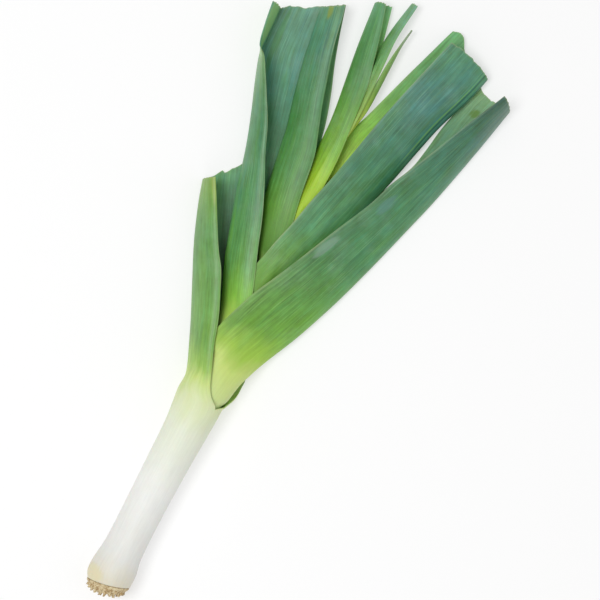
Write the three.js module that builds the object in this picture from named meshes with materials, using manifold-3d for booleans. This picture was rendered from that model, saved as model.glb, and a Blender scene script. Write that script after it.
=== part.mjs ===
// A leek, pulled, trimmed and laid on its side: a domed root plate with its cut root stubs, and eight
// leaves. Each leaf is one piece, as it grew: a closed tubular sheath that stands on the root plate,
// and a blade folded along its keel. The sheaths nest in each other and make the white shank, and the
// blades fan out to the left and the right of it, with their ends cut off.
//
// Millimetres. +X runs along the shank from the roots to the leaf ends, +Y is the left side of the fan,
// +Z is up from the surface. The origin is on that surface, under the widest place of the bulb.
import * as THREE from 'three';
import { mergeVertices } from 'three/addons/utils/BufferGeometryUtils.js';
import Module from 'manifold-3d';

const wasm = await Module();
wasm.setup();

// Driving dimensions
const restX = 17; // from the root end to the widest place of the bulb, where the leek rests
const sheathBaseX = 9; // where the sheaths stand on the root plate
const rootTilt = 0.2; // slope of the root plate across the shank
const sheathWall = 1;
const keelThickness = 1.2;
const marginThickness = 0.7;
const layerStep = 0.122; // each sheath's radius is this share of the outermost one's under the next
// how the back margin slides under the bundle: mm past the mouth, its share of the way round, and its
// distance from the axis in radii
const slideRows = [[2, 0.12, 1.04], [5, 0.4, 1.13], [9, 0.75, 1.12], [14, 1, 1.02]];
const mouthRows = [2.5, 5, 8, 11, 15, 20]; // rows of points just past the mouth, in mm from it

// The bundle of sheaths: x, y of its axis, height of its axis, radius of the outermost sheath's middle
const bundle = [
  [9, -1.3, 15.6, 14.3],
  [14, -0.2, 15.45, 15.6],
  [20, 0, 15.45, 15.6],
  [26, 0, 15.6, 14.8],
  [34, 0, 16.0, 13.7],
  [60, 0, 16.2, 13.4],
  [100, -0.3, 16.5, 14.1],
  [130, -0.8, 16.7, 15.1],
  [151, -1, 16.9, 15.8],
  [180, -1.1, 16.0, 14.9],
  [200, -1.2, 15.0, 13.9],
  [250, -2, 13.0, 12.0],
  [300, -3, 12.0, 11.1],
  [350, -4, 11.8, 10.9],
  [470, -5, 11.8, 10.9],
];

// The leaves from the outermost in. Each line is [x, y, rise], where rise is the height over the axis of
// the bundle in units of the leaf's own radius there. side is the side of the keel, +1 left, -1 right.
// cut is the uneven end: [place across, mm further along x], where the front margin is at 0, the keel at
// 0.5 and the back margin at 1.
const leaves = [
  {
    name: 'leaf_left_outer', side: 1, mouthX: 151, roll: 42, halfFacets: 11, bladeRows: 9, color: 0x6f9a5c,
    keel: [[160, 14.8, -0.7], [170, 18.8, -0.72], [180, 23, -0.75], [200, 31.6, -0.8], [225, 43.2, -0.84],
      [250, 54.5, -0.86], [275, 63.8, -0.87], [290.5, 68.4, -0.87]],
    front: [[158, -6.5, 0.95], [165, -2.5, 1.03], [175, 1.5, 1.05], [190, 7.5, 1.05], [210, 14, 1.05],
      [225, 20.5, 1.07], [240, 27.6, 1.1], [250, 34.4, 1.15], [262, 41.4, 1.25], [280, 51.3, 1.4],
      [295, 59.9, 1.55]],
    ownSlide: true,
    back: [[154, -17.5, 0.3], [157.5, -19.5, -0.15], [161, -21.2, -0.55], [165, -22.2, -0.85],
      [172, -22.4, -0.98], [178, -22.2, -1.03], [192, -15, -1], [220, -1, -1],
      [250, 13, -1.01], [280, 28, -1.03], [318, 44.5, -1.04]],
    cut: [[0, 0], [0.5, 0], [0.62, 0], [0.7, -0.2], [0.76, 1.2], [0.78, 1.1], [0.81, -1.6], [0.87, -0.6],
      [0.93, 0.2], [1, 0.5]],
  },
  {
    name: 'leaf_right_outer', side: -1, mouthX: 180, roll: 15, halfFacets: 9, bladeRows: 15, color: 0x4f7f5f,
    keel: [[153, -14.2, -0.24], [157.5, -16.4, -0.27], [162, -17.5, -0.32], [169.5, -18.6, -0.42],
      [177, -20.5, -0.51], [195, -28.4, -0.65], [220, -40.2, -0.75], [240, -48.3, -0.8], [260, -55.7, -0.85],
      [290, -65.5, -0.95], [325, -76, -1.04], [350, -83.3, -1.1], [390, -93.2, -1.15], [430, -102.3, -1.18]],
    front: [[190, 12.3, 0.85], [200, 12, 1], [215, 7.5, 1], [235, 0, 1], [255, -10, 1], [275, -19.5, 1],
      [300, -31, 1], [326, -43.5, 1], [349, -52.3, 1.05], [362, -58.5, 1.1], [380, -67, 1.2], [400, -76, 1.3],
      [437.5, -93.2, 1.5]],
    back: [[215, 7, -1], [240, 0, -1], [270, -14, -1], [300, -29, -1.04],
      [325, -42, -1.08], [349, -51.8, -1.1], [365, -59, -1.12], [380, -62.2, -1.14], [400, -65.4, -1.16],
      [416, -69.5, -1.17], [434, -75.8, -1.18]],
    cut: [[0, -1], [0.15, 0], [0.35, 1], [0.5, 1.2], [0.6, 0.8], [0.75, 0.7], [0.83, 0.6], [0.9, 0.8],
      [0.95, 2], [1, 4.2]],
  },
  {
    name: 'leaf_left_middle', side: 1, mouthX: 205, roll: 30, halfFacets: 8, bladeRows: 15, color: 0x5a8a68,
    keel: [[200, 10.5, -0.5], [210, 13.5, -0.55], [225, 19.5, -0.65], [240, 26, -0.75], [250, 29.9, -0.8],
      [270, 36.2, -0.88], [300, 45.4, -0.95], [313, 48.4, -1], [330, 53.2, -1.1], [350, 60, -1.2],
      [370, 67.4, -1.24], [388, 73.1, -1.26], [400, 74, -1.26], [422.5, 74.6, -1.26]],
    front: [[215, -6.5, 0.85], [225, -3.2, 1], [245, 4, 1], [265, 11.5, 1], [285, 18.5, 1], [305, 27, 1.02],
      [325, 36.5, 1.08], [345, 45, 1.2], [365, 56, 1.4], [376, 62.3, 1.6], [386, 68.4, 1.75],
      [391, 74.2, 1.8], [405, 77.6, 1.85], [422, 80, 1.8]],
    back: [[240, -5, -1], [265, 3, -1], [300, 15, -1.04], [340, 25, -1.12],
      [380, 32, -1.24], [410, 37, -1.27], [437, 40.5, -1.27]],
    cut: [[0, 0], [0.3, 0.2], [0.5, 0.4], [0.58, 1.6], [0.65, 2.8], [0.73, 3], [0.79, 2.3], [0.85, 3.3],
      [0.885, 4.5], [0.95, 4.4], [1, 4]],
  },
  {
    name: 'leaf_right_middle', side: -1, mouthX: 232, roll: 25, halfFacets: 8, bladeRows: 13, color: 0x54856c,
    keel: [[218, -9.2, -0.42], [228, -11.6, -0.45], [240, -15, -0.5], [260, -22, -0.6], [280, -29, -0.7],
      [300, -36, -0.8], [327, -44, -0.85], [350, -50.5, -0.85], [380, -58, -0.85], [400, -63.5, -0.85],
      [430, -74.5, -0.85], [443, -78, -0.85]],
    front: [[242, 8.2, 0.85], [252, 8, 1], [262, 5.5, 1], [275, 2.5, 1], [292, -2.2, 1], [310, -6.3, 1],
      [330, -11.8, 1], [350, -16.5, 1], [380, -23.3, 1], [410, -31, 1], [453, -43.5, 1]],
    back: [[267, 4, -1], [290, 1, -1], [320, -4.2, -1], [350, -7.8, -1.05], [368, -9.6, -1.08],
      [376, -11.6, -1.1], [382, -14, -1.1], [400, -19.8, -1.1], [430, -29.6, -1.1], [461, -41, -1.1]],
    cut: [[0, 1], [0.1, 2.7], [0.3, 2.7], [0.4, 1.8], [0.47, 1.3], [0.5, 0.8], [0.6, 0], [0.8, -0.4],
      [0.87, 0.8], [0.9, 5.4], [0.95, 6.4], [1, 2.4]],
  },
  {
    name: 'leaf_left_inner', side: 1, mouthX: 262, roll: 25, halfFacets: 7, bladeRows: 11, color: 0x6aa05a,
    keel: [[244, 3.5, -0.42], [255, 7, -0.45], [265, 12, -0.5], [280, 18.5, -0.65], [293, 22.6, -0.8],
      [310, 25.8, -0.9], [340, 30.6, -1], [350, 32.2, -1.04], [377, 39, -1.13], [400, 43.6, -1.2],
      [436.5, 49.2, -1.2]],
    front: [[270, -5.6, 0.85], [280, -3.9, 1], [292, -2, 1], [310, 1.3, 1], [340, 5.6, 1], [355, 10.4, 1],
      [375, 17.2, 1], [395, 22.9, 1], [415, 28.4, 1], [437, 32.6, 1], [444, 34.3, 1]],
    back: [[296, -5.5, -1], [320, -1.5, -1], [345, 5, -1.1], [365, 9.3, -1.2],
      [385, 15.3, -1.3], [405, 22.6, -1.35], [424, 28.5, -1.35], [446, 34.5, -1.35]],
    cut: [[0, 0], [0.15, -1], [0.3, -0.7], [0.5, 0], [0.75, 0.4], [1, 0]],
  },
  {
    name: 'leaf_heart_wide', side: 1, mouthX: 300, roll: 20, halfFacets: 5, bladeRows: 9, color: 0x8dbb46,
    keel: [[290, 1.9, -0.4], [310, 4.2, -0.5], [340, 5.8, -0.6], [365, 6.4, -0.7], [380, 7.8, -0.8],
      [395, 9.8, -0.9], [425, 13.7, -1.1], [456.2, 16.5, -1.3]],
    front: [[310, -8.4, 0.9], [325, -9.8, 1.08], [345, -10, 1.12], [370, -8, 1.08], [400, -5.3, 0.95],
      [420, -0.9, 0.8], [437.5, 3.4, 0.65], [457.9, 9.5, 0.5]],
    back: [[345, -7.5, -1], [370, -9, -1], [400, -7.3, -1.1], [425, -2.8, -1.4], [434, -1, -1.5],
      [448.5, 2.3, -1.7], [459.5, 4.9, -1.8]],
    cut: [[0, 0], [0.3, 0.5], [0.45, -0.2], [0.5, -0.6], [0.75, 0], [1, 0]],
  },
  {
    name: 'leaf_heart_narrow', side: 1, mouthX: 345, roll: 10, halfFacets: 5, bladeRows: 7, color: 0x8fbf4c,
    keel: [[335, -0.6, -0.3], [370, -1, -0.6], [390, -2, -0.8], [410, -2.4, -1], [430, -1.4, -1.2],
      [445, -2.7, -1.4], [466.7, -6.7, -1.8]],
    front: [[360, -8.8, 1], [385, -9.8, 1.05], [400, -9.6, 1.05], [420, -8.9, 0.8], [440, -8.4, 0.4],
      [467, -11.1, -0.6]],
    back: [[385, -8.8, -1], [400, -9.1, -1.1], [420, -8.6, -1.5], [440, -8.1, -2],
      [466.9, -10.9, -2.8]],
    cut: [[0, 0], [0.3, 0.6], [0.5, 0], [1, 0]],
  },
  {
    name: 'leaf_heart_tip', side: -1, mouthX: 372, roll: 0, halfFacets: 5, bladeRows: 5, color: 0xa6c64e,
    keel: [[355, -7.2, -0.4], [370, -10, -0.6], [385, -12.5, -0.8], [400, -13.1, -1], [425, -13.3, -1.6],
      [437, -13.6, -2.1], [450, -15.1, -2.7]],
    front: [[385, -8.5, 0.8], [400, -9.3, 0.75], [420, -10.2, 0.4], [435, -12, -0.4], [450, -14.8, -1.9]],
    back: [[400, -9.3, -1.1], [420, -10.2, -1.9], [435, -12, -2.8], [450, -14.8, -3.4]],
    cut: [[0, 0], [1, 0]],
  },
];

// Catmull-Rom through rows whose first number is x: the other numbers at that x
function at(rows, x) {
  const last = rows.length - 1;
  let i = 0;
  while (i < last - 1 && x > rows[i + 1][0]) i++;
  const [a, b] = [rows[i], rows[i + 1]];
  const t = THREE.MathUtils.clamp((x - a[0]) / (b[0] - a[0]), 0, 1);
  const slope = (r, s, k) => (s[k] - r[k]) / (s[0] - r[0]);
  return a.slice(1).map((_, n) => {
    const k = n + 1;
    const here = slope(a, b, k);
    const before = i > 0 ? slope(rows[i - 1], b, k) : here;
    const after = i < last - 1 ? slope(a, rows[i + 2], k) : here;
    const w = b[0] - a[0];
    return (2 * t ** 3 - 3 * t ** 2 + 1) * a[k] + (t ** 3 - 2 * t ** 2 + t) * w * before
      + (3 * t ** 2 - 2 * t ** 3) * b[k] + (t ** 3 - t ** 2) * w * after;
  });
}

const smooth = (from, to, x) => THREE.MathUtils.smoothstep(x, from, to);
const lerp = THREE.MathUtils.lerp;

// The tube of one layer at x: its axis and its radius
function tube(layer, x) {
  const [y, z, radius] = at(bundle, x);
  return { y, z, radius: radius * (1 - layerStep * layer) };
}

// A point of a leaf's line: [x, y, rise] with the rise turned into a height
function pointOn(line, layer, x) {
  const [y, rise] = at(line, x);
  const t = tube(layer, x);
  return new THREE.Vector3(x, y, t.z + rise * t.radius);
}

// Moves a point out of its layer's tube, so that a leaf never runs through the leaves inside it
const mouthLift = 0.05; // how far a leaf stands off its tube just past the mouth, in radii
const looseFrom = [405, 435]; // the bundle comes apart between these, and the tubes end
function outsideTube(p, layer, mouthX) {
  const t = tube(layer, p.x);
  const away = Math.hypot(p.y - t.y, p.z - t.z);
  const justPast = smooth(mouthX, mouthX + 4, p.x) * (1 - smooth(mouthX + 12, mouthX + 30, p.x));
  const clear = t.radius * (1 + mouthLift * justPast) * (1 - smooth(...looseFrom, p.x));
  if (away < clear) {
    p.y = t.y + (p.y - t.y) * clear / away;
    p.z = t.z + (p.z - t.z) * clear / away;
  }
  return p;
}

// The points across one leaf, from the front margin over the keel to the back margin. Each half is a
// cubic curve from keel to margin: an arc about the tube's axis in the sheath, and in the blade a fold
// that climbs from the keel and runs flat to the margin.
const crown = 0.16; // how far a half bulges over its margin, in radii
const keelHandle = 0.4; // how far a half climbs straight up from the keel, as a share of its rise
const marginHandle = 0.45; // how far it runs flat from the margin, as a share of its width
const openingLength = 26; // over which a round sheath turns into a folded blade
const cutLength = 30; // over which the columns of a blade stretch to its uneven end

function across(leaf, layer, lines, x) {
  const { side, mouthX, halfFacets } = leaf;
  const keel = pointOn(lines.keel, layer, x.keel);
  const open = smooth(mouthX, mouthX + openingLength, x.keel);
  const t = tube(layer, x.keel);
  // angle about the axis: 0 at the keel's side, a quarter turn at the top
  const angle = (p) => Math.atan2(p.z - t.z, side * (p.y - t.y));
  const tangent = (p) => new THREE.Vector3(0, -side * Math.sin(angle(p)), Math.cos(angle(p)));
  const half = (line, up, xMargin) => {
    const margin = pointOn(line, layer, xMargin);
    const turn = THREE.MathUtils.euclideanModulo(up * (angle(margin) - angle(keel)), 2 * Math.PI);
    const arcHandle = up * 4 / 3 * Math.tan(turn / 4);
    const reach = Math.min((t.radius + Math.hypot(keel.y - t.y, keel.z - t.z)) / 2, 1.1 * t.radius);
    const arcKeel = tangent(keel).multiplyScalar(arcHandle * reach);
    const arcMargin = tangent(margin).multiplyScalar(-arcHandle * t.radius);
    const foldKeel = new THREE.Vector3(0, 0, (margin.z - keel.z) * keelHandle);
    const foldMargin = keel.clone().sub(margin).multiplyScalar(marginHandle);
    foldMargin.z = up > 0 ? crown * t.radius : 0;
    const floor = Math.min(keel.z, margin.z, t.z - t.radius);
    return new THREE.CubicBezierCurve3(
      keel, arcKeel.lerp(foldKeel, open).add(keel), arcMargin.lerp(foldMargin, open).add(margin), margin,
    ).getPoints(halfFacets).map((p) => outsideTube(p.setZ(Math.max(p.z, floor)), layer, mouthX));
  };
  const front = half(lines.front, 1, x.front);
  const back = half(lines.back, -1, x.back);
  return [...front.reverse(), ...back.slice(1)];
}

// The middle surface of a leaf as rows of points, and the row at which the sheath opens
function middleSurface(leaf, layer) {
  const { side, mouthX, bladeRows } = leaf;
  const roll = THREE.MathUtils.degToRad(leaf.roll);
  // a margin's start: a point on the tube, at an angle above the level of its axis
  const onTube = (x, above, off = 1) => {
    const t = tube(layer, x);
    return [x, t.y - side * off * t.radius * Math.cos(above), off * Math.sin(above)];
  };
  const seam = bundle.map((r) => r[0]).filter((x) => x < mouthX - 4).map((x) => onTube(x, roll));
  const slide = slideRows.map(([past, share, off]) => (
    onTube(mouthX + past, lerp(roll, -Math.PI / 2, share), off)));
  const keelStart = bundle.map((r) => r[0]).filter((x) => x < leaf.keel[0][0] - 4).map((x) => {
    const t = tube(layer, x);
    return [x, t.y + side * t.radius * Math.cos(roll), -Math.sin(roll)];
  });
  const lines = {
    keel: [...keelStart, ...leaf.keel],
    front: [...seam, onTube(mouthX, roll), ...leaf.front],
    back: [...seam, onTube(mouthX, roll), ...(leaf.ownSlide ? [] : slide), ...leaf.back],
  };
  const end = { keel: leaf.keel.at(-1)[0], front: leaf.front.at(-1)[0], back: leaf.back.at(-1)[0] };
  const sheathRows = [9, 14, 20, 27, 36, 62, 100, 130, 151, 180, 205, 232, 262, 300, 345]
    .filter((x) => x < mouthX - 20).concat([12, 0].map((before) => mouthX - before));
  const rows = sheathRows.map((x) => across(leaf, layer, lines, { keel: x, front: x, back: x }));
  const span = end.keel - mouthX;
  const mouthShare = mouthRows.map((past) => past / span);
  const lastShare = mouthShare.at(-1);
  const bladeShare = Array.from({ length: bladeRows }, (_, j) => lerp(lastShare, 1, (j + 1) / bladeRows));
  for (const v of [...mouthShare, ...bladeShare]) {
    rows.push(across(leaf, layer, lines, { keel: lerp(mouthX, end.keel, v),
      front: lerp(mouthX, end.front, v), back: lerp(mouthX, end.back, v) }));
  }
  rows.at(-1).map((p) => p.x).forEach((endX, k, ends) => {
    const further = at(leaf.cut, k / (ends.length - 1))[0];
    for (const row of rows) row[k].x += further * smooth(endX - cutLength, endX, row[k].x);
  });
  return { rows, mouthRow: sheathRows.length - 1 };
}

// Leans the foot of the sheaths so that it follows the slope of the root plate
const leanFoot = (p) => {
  p.x -= rootTilt * p.y * (1 - smooth(sheathBaseX, 34, p.x));
  return p;
};

// A leaf as a closed shell: its middle surface, thickened to both sides
function leafGeometry(leaf, layer) {
  const { rows, mouthRow } = middleSurface(leaf, layer);
  const columns = rows[0].length;
  const last = columns - 1;
  const closed = (j) => j <= mouthRow;
  const position = [];
  const outer = [];
  const inner = [];
  rows.forEach((row, j) => {
    outer.push([]);
    inner.push([]);
    row.forEach((p, k) => {
      if (closed(j) && k === last) {
        outer[j].push(outer[j][0]);
        inner[j].push(inner[j][0]);
        return;
      }
      const wrap = closed(j) && k === 0;
      const along = rows[Math.min(j + 1, rows.length - 1)][k].clone().sub(rows[Math.max(j - 1, 0)][k]);
      const sideways = row[Math.min(k + 1, last)].clone().sub(row[wrap ? last - 1 : Math.max(k - 1, 0)]);
      const normal = along.cross(sideways).multiplyScalar(leaf.side).normalize();
      const fromKeel = Math.abs(2 * k / last - 1);
      const blade = smooth(leaf.mouthX - 20, leaf.mouthX + 20, p.x);
      const thickness = lerp(sheathWall, lerp(keelThickness, marginThickness, Math.sqrt(fromKeel)), blade);
      for (const [list, way] of [[outer, 1], [inner, -1]]) {
        const q = leanFoot(p.clone().addScaledVector(normal, way * thickness / 2));
        q.z = Math.max(q.z, 0);
        list[j].push(position.length / 3);
        position.push(q.x, q.y, q.z);
      }
    });
  });
  const index = [];
  const quad = (a, b, c, d) => index.push(a, b, c, a, c, d);
  const end = rows.length - 1;
  for (let j = 0; j < end; j++) {
    for (let k = 0; k < last; k++) {
      quad(outer[j][k], outer[j + 1][k], outer[j + 1][k + 1], outer[j][k + 1]);
      index.push(inner[j][k], inner[j][k + 1], inner[j + 1][k + 1]);
      index.push(inner[j][k], inner[j + 1][k + 1], inner[j + 1][k]);
    }
    if (j >= mouthRow) {
      quad(outer[j + 1][0], outer[j][0], inner[j][0], inner[j + 1][0]);
      quad(outer[j][last], outer[j + 1][last], inner[j + 1][last], inner[j][last]);
    }
  }
  for (let k = 0; k < last; k++) {
    quad(outer[0][k], outer[0][k + 1], inner[0][k + 1], inner[0][k]);
    quad(outer[end][k + 1], outer[end][k], inner[end][k], inner[end][k + 1]);
  }
  if (leaf.side < 0) {
    for (let i = 0; i < index.length; i += 3) [index[i + 1], index[i + 2]] = [index[i + 2], index[i + 1]];
  }
  return new THREE.BufferGeometry()
    .setAttribute('position', new THREE.Float32BufferAttribute(position, 3))
    .setIndex(index);
}

// Root plate: a dome in front of the sheaths, with the cut stubs of its roots in rings
const plateProfile = [[0.3, 0], [0.7, 4.5], [1.8, 8.4], [3.4, 11.3], [5.2, 13], [8.6, 14.3]]; // x, radius
const plateAxis = [[0, -1.9], [9, -1.3]]; // x, y
const plateHeight = 15.6;
const plateFacets = 24;
const stubRings = [[0.93, 13], [0.7, 9], [0.38, 5]]; // share of the plate's radius, count
const stubRadius = [0.6, 1];
const stubLength = [1.1, 2.6]; // out of the dome
const stubSplay = 0.55; // how far the outer stubs lean outwards
const scatter = (n) => Math.abs(Math.sin(n * 127.1 + 11.7) * 43758.5453) % 1;

function solid(geometry) {
  const merged = mergeVertices(
    new THREE.BufferGeometry().setAttribute('position', geometry.getAttribute('position'))
      .setIndex(geometry.index), 1e-3);
  const index = [];
  for (let i = 0; i < merged.index.count; i += 3) {
    const [a, b, c] = [0, 1, 2].map((n) => merged.index.getX(i + n));
    if (a !== b && b !== c && c !== a) index.push(a, b, c);
  }
  return new wasm.Manifold(new wasm.Mesh({
    numProp: 3, vertProperties: merged.attributes.position.array, triVerts: new Uint32Array(index),
  }));
}

function rootPlateGeometry() {
  const profile = [...plateProfile, [8.6, 0]].map(([x, radius]) => new THREE.Vector2(radius, x));
  const alongX = (geometry) => geometry.rotateZ(-Math.PI / 2);
  let plate = solid(alongX(new THREE.LatheGeometry(profile, plateFacets)));
  stubRings.forEach(([share, count], ring) => {
    for (let n = 0; n < count; n++) {
      const seed = ring * 31 + n;
      const turn = 2 * Math.PI * (n + 0.5 * scatter(seed)) / count;
      const away = share * 12.8;
      const foot = at(plateProfile.map(([x, radius]) => [radius, x]), away)[0] + 1;
      const length = lerp(...stubLength, scatter(seed + 7)) + 1;
      const radius = lerp(...stubRadius, scatter(seed + 13));
      const stub = new THREE.CylinderGeometry(radius * 0.85, radius, length, 6)
        .translate(0, length / 2, 0).rotateZ(Math.PI / 2);
      stub.rotateY(-stubSplay * share * scatter(seed + 19));
      stub.translate(foot, 0, away).rotateX(turn);
      plate = plate.add(solid(stub));
    }
  });
  const mesh = plate.getMesh();
  const geometry = new THREE.BufferGeometry()
    .setAttribute('position', new THREE.Float32BufferAttribute(mesh.vertProperties, 3))
    .setIndex([...mesh.triVerts]);
  const p = new THREE.Vector3();
  const position = geometry.attributes.position;
  for (let i = 0; i < position.count; i++) {
    p.fromBufferAttribute(position, i);
    p.add(new THREE.Vector3(0, at(plateAxis, p.x)[0], plateHeight));
    position.setXYZ(i, ...leanFoot(p));
  }
  return geometry;
}

const leek = new THREE.Group();
function add(name, geometry, color, roughness) {
  const mesh = new THREE.Mesh(geometry, new THREE.MeshStandardMaterial({ color, roughness, metalness: 0 }));
  mesh.name = name;
  leek.add(mesh);
}
add('root_plate', rootPlateGeometry(), 0xcdb98c, 0.8);
leaves.forEach((leaf, layer) => add(leaf.name, leafGeometry(leaf, layer), leaf.color, 0.55));
leek.position.x = -restX;

export default leek;
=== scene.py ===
import bpy
import numpy as np
from mathutils import Matrix, Vector


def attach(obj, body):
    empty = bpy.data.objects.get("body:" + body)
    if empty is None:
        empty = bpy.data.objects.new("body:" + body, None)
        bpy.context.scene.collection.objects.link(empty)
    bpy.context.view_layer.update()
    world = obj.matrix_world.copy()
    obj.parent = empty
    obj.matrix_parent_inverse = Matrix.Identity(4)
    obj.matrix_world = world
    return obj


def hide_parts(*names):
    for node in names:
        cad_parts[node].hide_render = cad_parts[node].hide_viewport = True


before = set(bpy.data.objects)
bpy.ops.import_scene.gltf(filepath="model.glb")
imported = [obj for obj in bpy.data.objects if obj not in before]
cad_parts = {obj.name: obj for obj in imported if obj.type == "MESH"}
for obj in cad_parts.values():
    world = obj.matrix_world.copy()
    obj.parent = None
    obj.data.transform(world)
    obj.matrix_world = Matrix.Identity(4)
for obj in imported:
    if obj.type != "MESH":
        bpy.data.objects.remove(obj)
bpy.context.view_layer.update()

mm = 0.001
bundle = dict(
    restX=17,  # from the root end to the widest place of the bulb, where the leek rests
    overallLength=470,  # a leaf's U coordinate is a share of it
    sheathBase=9, sheathWall=1, keelThickness=1.2, marginThickness=0.7,
    rootTilt=0.2, tiltEnd=34,  # slope of the root plate across the shank, and the x where it has faded
    layerStep=0.122,  # each sheath's radius is this share of the outermost one's under the next
    # x, y of the axis, height of the axis, radius of the outermost sheath
    axis=[(9, -1.3, 15.6, 14.3), (14, -0.2, 15.45, 15.6), (20, 0, 15.45, 15.6), (26, 0, 15.6, 14.8),
          (34, 0, 16, 13.7), (60, 0, 16.2, 13.4), (100, -0.3, 16.5, 14.1), (130, -0.8, 16.7, 15.1),
          (151, -1, 16.9, 15.8), (180, -1.1, 16, 14.9), (200, -1.2, 15, 13.9), (250, -2, 13, 12),
          (300, -3, 12, 11.1), (350, -4, 11.8, 10.9), (470, -5, 11.8, 10.9)])
fold = dict(
    crown=0.16,  # how far a half bulges over its margin, in radii
    keelHandle=0.4,  # how far a half climbs straight up from the keel, as a share of its rise
    marginHandle=0.45,  # how far it runs flat from the margin, as a share of its width
    mouthLift=0.05,  # how far a leaf stands off its tube just past the mouth, in radii
    liftOver=(4, 12, 30),  # mm past the mouth where that is reached, starts to fade and ends
    longestReach=1.1,  # of the handles that draw the round sheath, in radii
    wallChange=20,  # mm on both sides of the mouth over which the wall takes the blade's thickness
    openingLength=26,  # over which a round sheath turns into a folded blade
    spare=4,  # the bundle's own rows stay this far before a leaf's mouth and the start of its keel
    looseFrom=(405, 435),  # the bundle comes apart between these, and the tubes end
    cutLength=30,  # over which the columns of a blade stretch to its uneven end
    ragged=0.25,  # depth of the fine notches in it
    # how the back margin slides under the bundle: mm past the mouth, share of the way, distance in radii
    slide=[(2, 0.12, 1.04), (5, 0.4, 1.13), (9, 0.75, 1.12), (14, 1, 1.02)])
grid = dict(sheathStep=2.5, bladeStep=1.5, halfColumns=28, sharpAngle=55)
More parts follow.
